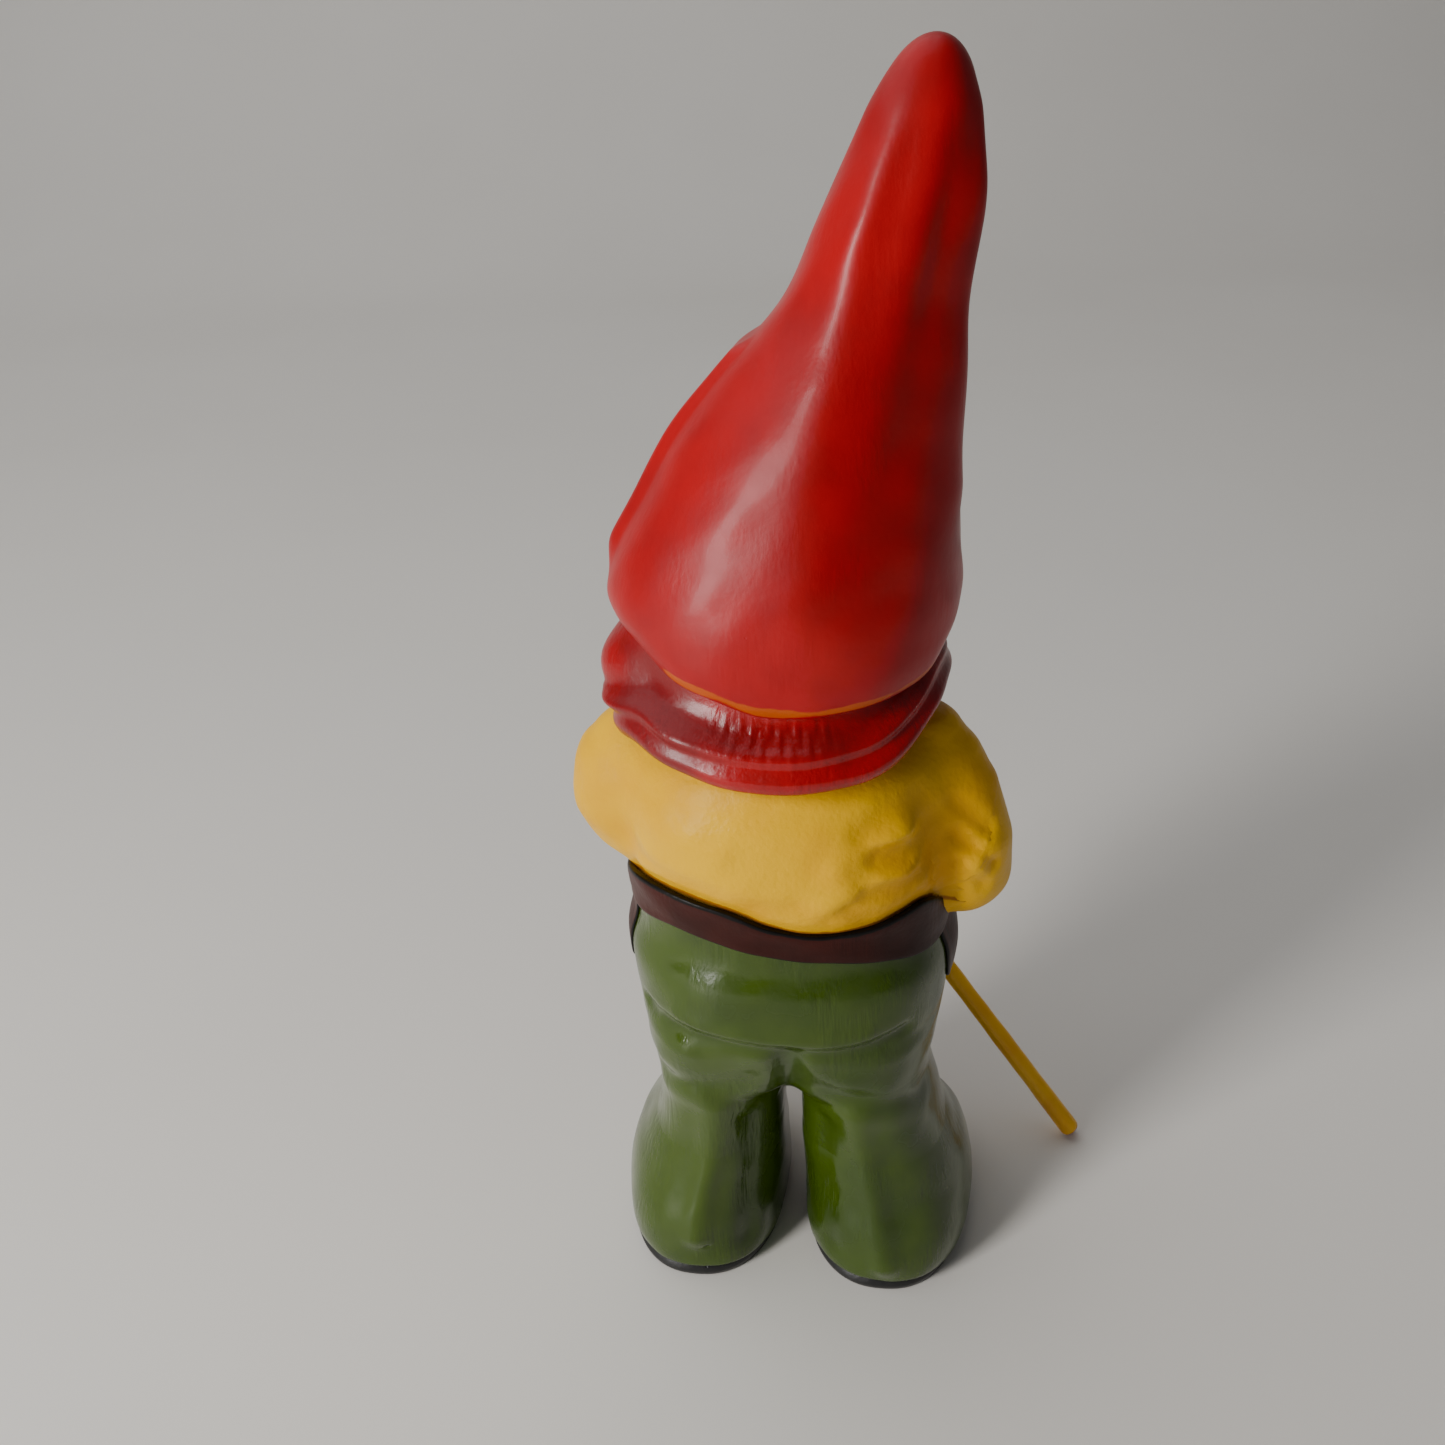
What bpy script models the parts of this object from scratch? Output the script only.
"""Garden gnome, 350 mm tall: a kit of hollow plastic mouldings, and a staff through its fists.

The figure faces -Y and its own left is +X. Every length below is in millimetres, measured from
the figure's upright axis and the ground, and MM turns it into metres. A moulding is a loft, a
stack of rings that are rounded ovals, and mouldings plug into each other with spigots.
"""

import math

import bmesh
import bpy
from mathutils import Matrix, Quaternion, Vector

MM = 0.001
HEIGHT = 350.0  # ground to the tip of the hat
GAP = 0.35  # free play between two mouldings
WALL = 3.0  # wall of a moulding
SPIGOT_WALL = 2.4
SPIGOT_PLAY = 0.7  # taken off a spigot all round
RING_POINTS = 32
LEG_POINTS = 24
ARM_POINTS = 18
OVAL = 2.3  # exponent of the rounded oval: 2 is an ellipse, more is squarer

# The middle of the whole box seen from above, staff included: the origin goes under it
BOX_MIDDLE = Vector((-16.06, -16.09, 0.0))

# Staff: where it stands, which way it leans, how it tapers, and where each hand holds it
STAFF_LENGTH = 222.0
STAFF_FOOT_RADIUS = 3.2
STAFF_TOP_RADIUS = 2.3
STAFF_LEAN = Vector((0.752, -0.190, 1.0)).normalized()
FOOT_CLEAR = 0.3  # the staff's lowest point stays just off the ground
FOOT_RISE = FOOT_CLEAR + STAFF_FOOT_RADIUS * (1.0 - STAFF_LEAN.z)
STAFF_FOOT = Vector((-93.4, -38.3, FOOT_RISE))
LEFT_GRIP = 184.0
RIGHT_GRIP = 141.0
GRIP_RADIUS = STAFF_FOOT_RADIUS + 0.4  # wide enough for the thick foot to be drawn through
FIST = (14.5, 12.6, 14.0)  # half sizes: across, front to back, along the staff
PEG_RADIUS, PEG_DEPTH = 6.5, 5.0

# Waist, where jacket and trousers meet under the belt, and the apron below it
WAIST = 134.0
WAIST_X, WAIST_Y, WAIST_CENTRE = 44.0, 38.0, -1.0
SPIGOT_HEIGHT = 8.0
BELT_LOW, BELT_HIGH = 127.0, 138.0
BELT_THICK = 2.6
APRON_LOW = 72.0
APRON_THICK = 2.2

# Boots, and the filler hole in the left sole
HEM = 47.0  # where the trouser legs meet the boots
SOLE_THICK = 5.0
LOCATOR_HEIGHT = 3.5
PLUG_AT = Vector((28.0, 4.0, 0.0))
PLUG_FLANGE, PLUG_BODY = 9.0, 7.5  # radii
PLUG_RECESS = 0.6
FLANGE_HEIGHT = 2.0
PLUG_HEIGHT = 11.0

NOSE_AT = Vector((0.0, -47.5, 209.0))
NOSE_RADIUS = 8.2

# Rings: height, centre x, centre y, half width, half depth, rise per mm towards the back
HAT = (
    (215.4, 0.0, -1.0, 43.6, 44.0, -0.20),
    (217.6, 0.0, -1.0, 44.8, 45.2, -0.20),
    (222.5, 0.0, -1.0, 45.0, 45.2, -0.19),
    (232.5, -1.0, -0.8, 43.2, 43.6, -0.15),
    (248.5, -4.7, -0.4, 38.4, 39.2, -0.10),
    (264.0, -9.0, 0.0, 33.2, 34.0, -0.06),
    (278.0, -15.0, 0.6, 26.8, 27.6, 0.0),
    (292.0, -21.2, 1.2, 21.3, 22.4, 0.0),
    (312.0, -27.2, 1.8, 17.7, 18.4, 0.0),
    (330.5, -31.5, 2.0, 13.0, 13.2, 0.0),
    (342.0, -34.0, 2.0, 8.0, 8.2, 0.0),
    (348.6, -34.8, 2.0, 3.6, 3.6, 0.0),
)
HAT_TIP = (-35.0, 2.0, HEIGHT)

NECK_RADIUS = 22.0
HEAD = (
    (180.0, 0.0, 0.0, NECK_RADIUS, NECK_RADIUS, 0.0),
    (191.5, 0.0, 0.0, NECK_RADIUS, NECK_RADIUS, 0.0),
    (196.0, 0.0, -4.0, 29.5, 30.0, 0.0),
    (203.0, 0.0, -6.5, 34.5, 36.0, 0.0),
    (211.5, 0.0, -6.0, 36.4, 38.0, -0.10),
    (218.4, 0.0, -3.8, 36.2, 36.2, -0.20),
    (219.0, 0.0, -1.0, 41.2, 41.4, -0.20),
    (230.5, -1.0, -0.9, 39.4, 39.7, -0.16),
    (240.0, -2.5, -0.8, 33.5, 33.8, -0.10),
    (247.5, -4.0, -0.6, 22.5, 22.8, 0.0),
    (251.0, -4.0, -0.6, 9.0, 9.0, 0.0),
)
HEAD_TIP = (-4.0, -0.6, 252.0)

COWL = (
    (184.5, 0.8, 0.0, 48.6, 47.8, 0.0),
    (189.0, 0.8, -0.1, 48.6, 47.6, 0.0),
    (194.0, 0.4, -0.3, 45.2, 45.2, -0.02),
    (199.5, 0.0, -0.6, 41.8, 42.2, -0.05),
    (205.0, 0.0, -0.8, 39.4, 39.8, -0.06),
)

JACKET = (
    (WAIST, 0.0, WAIST_CENTRE, WAIST_X, WAIST_Y, 0.0),
    (139.5, 0.0, WAIST_CENTRE, WAIST_X, WAIST_Y, 0.0),
    (146.0, 0.0, -2.0, 46.4, 43.0, 0.0),
    (158.0, 0.0, -2.5, 47.4, 45.0, 0.0),
    (172.0, 0.0, -1.5, 45.4, 43.0, 0.0),
    (181.0, 0.0, -0.5, 40.0, 38.0, 0.0),
    (186.5, 0.0, 0.0, 31.5, 31.0, 0.0),
    (188.5, 0.0, 0.0, NECK_RADIUS + 3.6, NECK_RADIUS + 3.6, 0.0),
)

HIPS = (
    (62.0, 0.0, 4.0, 32.0, 22.0, 0.0),
    (70.0, 0.0, 2.5, 42.0, 32.4, 0.0),
    (84.0, 0.0, 1.0, 44.2, 37.4, 0.0),
    (100.0, 0.0, 0.0, 45.6, 39.6, 0.0),
    (115.0, 0.0, 0.0, 46.0, 39.6, 0.0),
    (124.0, 0.0, WAIST_CENTRE, WAIST_X, WAIST_Y, 0.0),
    (WAIST - GAP, 0.0, WAIST_CENTRE, WAIST_X, WAIST_Y, 0.0),
)

# The figure's left leg and boot. The right ones are mirrored.
LEG = (
    (HEM, 23.3, 2.2, 19.6, 25.6, 0.0),
    (58.0, 22.9, 2.6, 19.2, 26.0, 0.0),
    (72.0, 21.4, 3.4, 18.2, 27.0, 0.0),
    (92.0, 21.0, 2.0, 17.6, 25.0, 0.0),
)
BOOT = (
    (SOLE_THICK + GAP, 28.8, -7.2, 25.4, 40.8, 0.0),
    (12.0, 29.0, -7.4, 25.6, 41.0, 0.0),
    (21.0, 28.3, -6.4, 24.9, 38.6, 0.0),
    (31.0, 26.6, -3.4, 23.2, 33.0, 0.0),
    (40.0, 24.6, 0.6, 21.2, 28.0, 0.0),
    (HEM - GAP, 23.3, 2.2, 19.6, 25.6, 0.0),
)

BEARD = (
    (166.0, 1.0, -48.0, 6.0, 6.0, 0.0),
    (171.0, 0.6, -48.0, 16.0, 10.0, 0.0),
    (180.0, 0.0, -47.5, 25.5, 12.5, 0.0),
    (189.0, 0.0, -46.0, 30.5, 12.5, 0.0),
    (197.0, 0.0, -43.0, 31.0, 10.5, 0.0),
    (202.5, 0.0, -39.0, 27.0, 8.0, 0.0),
)

# Sleeves: the middle and the radius of the tube at shoulder, elbow and cuff
LEFT_ARM = (
    ((38.0, 3.0, 176.0), 13.0),
    ((46.0, 4.0, 169.0), 15.5),
    ((48.0, 3.0, 157.0), 14.6),
    ((44.0, -14.0, 149.0), 14.0),
    ((33.0, -39.0, 145.8), 13.2),
    ((24.0, -54.0, 145.0), 12.4),
)
RIGHT_ARM = (
    ((-38.0, 3.0, 176.0), 13.0),
    ((-44.0, 4.0, 165.0), 14.6),
    ((-48.0, 3.0, 143.0), 14.6),
    ((-44.0, -16.0, 128.0), 14.0),
    ((-36.0, -37.0, 118.5), 13.0),
    ((-27.0, -48.5, 115.0), 12.4),
)


def angles(count):
    return [2.0 * math.pi * k / count for k in range(count)]


def rounded(value):
    """cos or sin of a ring's angle, pushed out towards the corners."""
    return math.copysign(abs(value) ** (2.0 / OVAL), value)


def ring(section, grow=0.0, count=RING_POINTS):
    height, x, y, half_x, half_y, tilt = section
    points = []
    for turn in angles(count):
        across = (half_x + grow) * rounded(math.cos(turn))
        along = (half_y + grow) * rounded(math.sin(turn))
        points.append(Vector((x + across, y + along, height + tilt * along)))
    return points


def rings_along(stops, grow=0.0, count=ARM_POINTS):
    """Round rings square to a path of (middle, radius) stops, with no twist between them."""
    middles = [Vector(middle) for middle, _ in stops]
    heading = Vector((0.0, 0.0, 1.0))
    facing = Quaternion()
    rings = []
    for k, (_, radius) in enumerate(stops):
        ahead = middles[min(k + 1, len(stops) - 1)]
        behind = middles[max(k - 1, 0)]
        facing = heading.rotation_difference(ahead - behind) @ facing
        heading = ahead - behind
        spokes = (Vector((math.cos(t), math.sin(t), 0.0)) for t in angles(count))
        rings.append([middles[k] + facing @ (spoke * (radius + grow)) for spoke in spokes])
    return rings


def bridge(mesh, lower, upper):
    count = len(lower)
    for k in range(count):
        n = (k + 1) % count
        mesh.faces.new((lower[k], lower[n], upper[n], upper[k]))


def fan(mesh, edge, tip):
    peak = mesh.verts.new(Vector(tip) * MM)
    count = len(edge)
    for k in range(count):
        mesh.faces.new((edge[k], edge[(k + 1) % count], peak))


def add_object(name, mesh, material=None):
    """Finishes a bmesh as an object. With no material it is a cutter."""
    bmesh.ops.recalc_face_normals(mesh, faces=mesh.faces)
    data = bpy.data.meshes.new(name)
    mesh.to_mesh(data)
    mesh.free()
    data.shade_smooth()
    data.set_sharp_from_angle(angle=math.radians(40.0))
    made = bpy.data.objects.new(name, data)
    bpy.context.scene.collection.objects.link(made)
    if material is None:
        made.hide_render = True
        made.display_type = "WIRE"
    else:
        data.materials.append(material)
    return made


def solid(name, rings, material=None):
    """A closed skin over a stack of rings, with flat ends."""
    mesh = bmesh.new()
    loops = [[mesh.verts.new(point * MM) for point in points] for points in rings]
    for lower, upper in zip(loops, loops[1:]):
        bridge(mesh, lower, upper)
    mesh.faces.new(loops[0])
    mesh.faces.new(loops[-1])
    return add_object(name, mesh, material)


def loft(name, sections, material=None, grow=0.0, count=RING_POINTS):
    return solid(name, [ring(section, grow, count) for section in sections], material)


def resized(section, change, height=None):
    """One ring made wider or narrower all round, and moved to another height if one is given."""
    z, x, y, a, b, tilt = section
    return (z if height is None else height, x, y, a + change, b + change, tilt)


def mirrored(sections):
    return [(z, -x, y, a, b, tilt) for z, x, y, a, b, tilt in sections]


def inner_wall(sections, wall=WALL):
    """The same rings moved inwards, square to the profile, by the thickness of the wall."""
    made = []
    for k, (z, x, y, a, b, tilt) in enumerate(sections):
        below = sections[max(k - 1, 0)]
        above = sections[min(k + 1, len(sections) - 1)]
        rise = above[0] - below[0]
        spread = (above[3] + above[4] - below[3] - below[4]) / 2.0
        length = math.hypot(rise, spread)
        inset = wall * rise / length
        made.append((z + wall * spread / length, x, y, a - inset, b - inset, tilt))
    made[0] = (sections[0][0], *made[0][1:])
    return made


def shell(name, outer, inner, material, outer_tip=None, inner_tip=None, count=RING_POINTS):
    """A moulding with an open foot, and an open top too unless it has tips."""
    mesh = bmesh.new()
    outside = [[mesh.verts.new(p * MM) for p in ring(s, count=count)] for s in outer]
    inside = [[mesh.verts.new(p * MM) for p in ring(s, count=count)] for s in inner]
    for loops in (outside, inside):
        for lower, upper in zip(loops, loops[1:]):
            bridge(mesh, lower, upper)
    bridge(mesh, outside[0], inside[0])
    if outer_tip is None:
        bridge(mesh, outside[-1], inside[-1])
    else:
        fan(mesh, outside[-1], outer_tip)
        fan(mesh, inside[-1], inner_tip)
    return add_object(name, mesh, material)


def combine(target, other, operation):
    step = target.modifiers.new(operation.title(), "BOOLEAN")
    step.operation = operation
    step.solver = "EXACT"
    step.object = other


def cut(target, *cutters):
    for cutter in cutters:
        combine(target, cutter, "DIFFERENCE")


def join(target, *others):
    for other in others:
        other.hide_render = True
        combine(target, other, "UNION")


def ball(name, middle, radius):
    mesh = bmesh.new()
    bmesh.ops.create_uvsphere(mesh, u_segments=18, v_segments=10, radius=radius * MM)
    bmesh.ops.translate(mesh, verts=mesh.verts, vec=middle * MM)
    return add_object(name, mesh)


def turned(name, profile, material=None, count=24):
    """A solid of revolution about its own Z from (radius, height) points, ends on the axis."""
    mesh = bmesh.new()
    points = [mesh.verts.new(Vector((radius, 0.0, z)) * MM) for radius, z in profile]
    for lower, upper in zip(points, points[1:]):
        mesh.edges.new((lower, upper))
    bmesh.ops.spin(
        mesh,
        geom=mesh.verts[:] + mesh.edges[:],
        cent=(0.0, 0.0, 0.0),
        axis=(0.0, 0.0, 1.0),
        angle=2.0 * math.pi,
        steps=count,
        use_merge=True,
    )
    bmesh.ops.remove_doubles(mesh, verts=mesh.verts, dist=0.01 * MM)
    return add_object(name, mesh, material)


def make_material(name, colour, roughness):
    made = bpy.data.materials.new(name)
    made.use_nodes = True
    surface = made.node_tree.nodes["Principled BSDF"]
    surface.inputs["Base Color"].default_value = (*colour, 1.0)
    surface.inputs["Roughness"].default_value = roughness
    surface.inputs["Metallic"].default_value = 0.0
    return made


def make_hat():
    red = make_material("hat_red", (0.62, 0.005, 0.008), 0.22)
    inner = inner_wall(HAT)
    inner[-1] = (*inner[-1][:3], 1.2, 1.2, 0.0)
    inner_tip = (HAT_TIP[0], HAT_TIP[1], inner[-1][0] + 0.6)
    return shell("hat", HAT, inner, red, HAT_TIP, inner_tip)


def make_head():
    """Hollow head: neck spigot below, a round nose in front, and a plug for the hat on top."""
    skin = make_material("skin", (0.80, 0.42, 0.28), 0.35)
    inner = [resized(section, -WALL) for section in HEAD[:5]]
    inner.append(resized(HEAD[5], -WALL - 2.0))
    inner.append(resized(HEAD[7], -WALL - 3.0, 228.0))
    inner.append(resized(HEAD[8], -WALL - 3.0, 236.5))
    inner.append(resized(HEAD[9], -WALL - 4.0, 243.5))
    head = shell("head", HEAD, inner, skin, HEAD_TIP, (*HEAD_TIP[:2], 245.5))
    join(head, ball("nose", NOSE_AT, NOSE_RADIUS))
    return head


def make_cowl(*cutters):
    cowl = loft("cowl", COWL, make_material("cowl_red", (0.5, 0.004, 0.008), 0.3))
    cut(cowl, *cutters)
    return cowl


def make_jacket():
    yellow = make_material("jacket_yellow", (0.90, 0.49, 0.004), 0.28)
    return shell("jacket", JACKET, inner_wall(JACKET), yellow)


def make_beard(*cutters):
    beard = loft("beard", BEARD, make_material("beard_white", (0.85, 0.83, 0.78), 0.4))
    cut(beard, *cutters)
    return beard


def on_staff(along):
    return STAFF_FOOT + STAFF_LEAN * along


def staff_matrix(along):
    """Stands a piece's own Z along the staff, a distance up from its foot."""
    turn = STAFF_LEAN.to_track_quat("Z", "Y").to_matrix().to_4x4()
    return Matrix.Translation(on_staff(along) * MM) @ turn


def wrist_peg(stops, grip, grow=0.0):
    """Rings of a round peg from the fist back into the cuff."""
    cuff, elbow = Vector(stops[-1][0]), Vector(stops[-2][0])
    inside = cuff + (elbow - cuff).normalized() * (PEG_DEPTH + grow)
    radius = PEG_RADIUS + grow
    return rings_along(((inside, radius), (on_staff(grip).lerp(cuff, 0.35), radius)))


def make_sleeve(side, stops, grip, yellow, *cutters):
    """A tube against the side of the jacket, with a socket in its cuff for the hand's peg."""
    sleeve = solid("sleeve_" + side, rings_along(stops), yellow)
    socket = solid("wrist_socket_" + side, wrist_peg(stops, grip, SPIGOT_PLAY))
    cut(sleeve, *cutters, socket)
    return sleeve


def make_hand(side, stops, grip, skin, staff_way):
    """A closed fist round the staff, with a peg that plugs into the cuff."""
    mesh = bmesh.new()
    bmesh.ops.create_uvsphere(mesh, u_segments=16, v_segments=10, radius=1.0)
    bmesh.ops.scale(mesh, verts=mesh.verts, vec=Vector(FIST) * MM)
    bmesh.ops.transform(mesh, verts=mesh.verts, matrix=staff_matrix(grip))
    hand = add_object("hand_" + side, mesh, skin)
    cut(hand, solid("cuff_end_" + side, rings_along(stops, GAP)))
    join(hand, solid("wrist_peg_" + side, wrist_peg(stops, grip)))
    cut(hand, staff_way)
    return hand


def make_staff():
    """A tapered rod with a dome at each end, its origin at the foot and its Z along the rod."""
    quarter = [math.radians(22.5 * k) for k in range(5)]
    foot, top = STAFF_FOOT_RADIUS, STAFF_TOP_RADIUS
    high = STAFF_LENGTH - top
    profile = [(foot * math.sin(t), foot * (1.0 - math.cos(t))) for t in quarter]
    profile += [(top * math.cos(t), high + top * math.sin(t)) for t in quarter]
    yellow = make_material("staff_yellow", (0.80, 0.38, 0.004), 0.35)
    staff = turned("staff", profile, yellow, count=16)
    staff.matrix_world = staff_matrix(0.0)
    return staff


def make_belt():
    brown = make_material("belt_brown", (0.04, 0.012, 0.010), 0.3)
    waist = (BELT_LOW, 0.0, WAIST_CENTRE, WAIST_X, WAIST_Y, 0.0)
    inner = (resized(waist, GAP), resized(waist, GAP, BELT_HIGH))
    outer = [resized(section, BELT_THICK) for section in inner]
    return shell("belt", outer, inner, brown)


def make_apron():
    """A sheet over the front of the hips, its side edges running up and back to the belt."""
    brown = make_material("apron_brown", (0.045, 0.014, 0.012), 0.3)
    low = (APRON_LOW, 0.0, 2.3, 42.5, 33.2, 0.0)
    high = (BELT_LOW - GAP, 0.0, WAIST_CENTRE, WAIST_X, WAIST_Y, 0.0)
    rows = [low, *HIPS[2:6], high]
    inner = [resized(section, GAP) for section in rows]
    outer = [resized(section, APRON_THICK) for section in inner]
    apron = shell("apron", outer, inner, brown)
    mesh = bmesh.new()
    bmesh.ops.create_cube(mesh, size=2.0)
    bmesh.ops.scale(mesh, verts=mesh.verts, vec=Vector((80.0, 60.0, 90.0)) * MM)
    lean = Matrix.Rotation(math.radians(-26.0), 4, "X")
    behind = Matrix.Translation(Vector((0.0, 66.0, 100.0)) * MM)
    bmesh.ops.transform(mesh, verts=mesh.verts, matrix=behind @ lean)
    cut(apron, add_object("apron_back", mesh))
    return apron


def make_trousers():
    """Hips and legs as one hollow moulding, with a spigot up into the jacket and two down."""
    green = make_material("trouser_green", (0.06, 0.11, 0.012), 0.18)
    top = WAIST + SPIGOT_HEIGHT
    spigot = resized(HIPS[-1], -WALL - SPIGOT_PLAY)
    bore = resized(spigot, -SPIGOT_WALL)
    trousers = loft("trousers", (*HIPS, spigot, resized(spigot, 0.0, top)), green)
    cavity = [resized(HIPS[1], -WALL, HIPS[0][0] + 2.0 * WALL)]
    cavity += [resized(section, -WALL) for section in HIPS[2:6]]
    cavity += [resized(bore, 0.0, WAIST - WALL), resized(bore, 0.0, top + WALL)]
    ankle = resized(BOOT[-1], -WALL - SPIGOT_PLAY)
    leg = (resized(ankle, 0.0, HEM - SPIGOT_HEIGHT), resized(ankle, 0.0, HEM), *LEG)
    leg_bore = resized(ankle, -SPIGOT_WALL)
    leg_cavity = (
        resized(leg_bore, 0.0, HEM - SPIGOT_HEIGHT - WALL),
        resized(leg_bore, 0.0, HEM + WALL),
        *(resized(section, -WALL) for section in LEG[1:]),
    )
    sides = (("left", list), ("right", mirrored))
    for side, turn in sides:
        join(trousers, loft("leg_" + side, turn(leg), count=LEG_POINTS))
    cut(trousers, loft("hip_cavity", cavity))
    for side, turn in sides:
        cut(trousers, loft("leg_cavity_" + side, turn(leg_cavity), count=LEG_POINTS))
    return trousers


def make_boot(side, turn):
    green = make_material("boot_green_" + side, (0.05, 0.09, 0.012), 0.2)
    outer = turn(BOOT)
    inner = [resized(section, -WALL) for section in outer]
    return shell("boot_" + side, outer, inner, green, count=LEG_POINTS)


def make_sole(side, turn):
    """A flat sole with a raised rim that locates it inside the boot."""
    black = make_material("sole_black_" + side, (0.008, 0.008, 0.008), 0.4)
    foot = turn(BOOT)[0]
    locator = resized(foot, -WALL - SPIGOT_PLAY, SOLE_THICK)
    sections = (
        resized(foot, -1.0, 0.0),
        resized(foot, 0.2, 1.4),
        resized(foot, 0.2, SOLE_THICK),
        locator,
        resized(locator, 0.0, SOLE_THICK + LOCATOR_HEIGHT),
    )
    return loft("sole_" + side, sections, black, count=LEG_POINTS)


def make_plug(sole):
    """A flanged stopper pushed up into the sole, and the stepped hole that takes it."""
    top = PLUG_RECESS + PLUG_HEIGHT
    step = PLUG_RECESS + FLANGE_HEIGHT
    chamfer = 1.5
    profile = (
        (0.0, PLUG_RECESS),
        (PLUG_FLANGE, PLUG_RECESS),
        (PLUG_FLANGE, step),
        (PLUG_BODY, step),
        (PLUG_BODY, top - chamfer),
        (PLUG_BODY - chamfer, top),
        (0.0, top),
    )
    plug = turned("filler_plug", profile, make_material("plug_grey", (0.05, 0.05, 0.055), 0.6))
    plug.location = PLUG_AT * MM
    wide, narrow = PLUG_FLANGE + GAP, PLUG_BODY + GAP
    below, shoulder, above = -SOLE_THICK, step + GAP, 4.0 * SOLE_THICK
    stepped = (
        (0.0, below),
        (wide, below),
        (wide, shoulder),
        (narrow, shoulder),
        (narrow, above),
        (0.0, above),
    )
    hole = turned("filler_hole", stepped)
    hole.location = PLUG_AT * MM
    cut(sole, hole)
    return plug


def make_torso_cutter():
    """Apron, belt and jacket as one solid with some play round it."""
    below = [resized(section, 2.0 * GAP + APRON_THICK) for section in HIPS[1:6]]
    belt = resized(JACKET[0], 2.0 * GAP + BELT_THICK)
    waist = (resized(belt, 0.0, BELT_LOW - GAP), resized(belt, 0.0, BELT_HIGH + GAP))
    above = [resized(section, GAP) for section in JACKET[2:]]
    return loft("torso_cutter", (*below, *waist, *above))


def make_arms(torso_cutter, cowl_cutter):
    yellow = make_material("sleeve_yellow", (0.90, 0.49, 0.004), 0.28)
    skin = make_material("hand_skin", (0.80, 0.42, 0.28), 0.35)
    high = STAFF_LENGTH
    way = ((0.0, 0.0), (GRIP_RADIUS, 0.0), (GRIP_RADIUS, high), (0.0, high))
    staff_way = turned("staff_way", way, count=16)
    staff_way.matrix_world = staff_matrix(0.0)
    for side, stops, grip in (("left", LEFT_ARM, LEFT_GRIP), ("right", RIGHT_ARM, RIGHT_GRIP)):
        make_sleeve(side, stops, grip, yellow, torso_cutter, cowl_cutter)
        make_hand(side, stops, grip, skin, staff_way)


def stand_on_origin():
    """Hangs every piece on one empty, placed so that the origin is under the middle."""
    stand = bpy.data.objects.new("stand", None)
    for piece in list(bpy.data.objects):
        if piece is not stand:
            piece.parent = stand
    bpy.context.scene.collection.objects.link(stand)
    stand.location = -BOX_MIDDLE * MM


def main():
    for old in list(bpy.data.objects):
        bpy.data.objects.remove(old)
    head_cutter = loft("head_cutter", HEAD, grow=GAP)
    jacket_cutter = loft("jacket_cutter", JACKET, grow=GAP)
    cowl_cutter = loft("cowl_cutter", COWL, grow=GAP)
    nose_cutter = ball("nose_cutter", NOSE_AT, NOSE_RADIUS + GAP)
    make_hat()
    make_head()
    make_cowl(head_cutter, jacket_cutter)
    make_jacket()
    make_beard(head_cutter, cowl_cutter, jacket_cutter, nose_cutter)
    make_arms(make_torso_cutter(), cowl_cutter)
    make_belt()
    make_apron()
    make_trousers()
    make_staff()
    for side, turn in (("left", list), ("right", mirrored)):
        make_boot(side, turn)
        sole = make_sole(side, turn)
        if side == "left":
            make_plug(sole)
    stand_on_origin()


main()
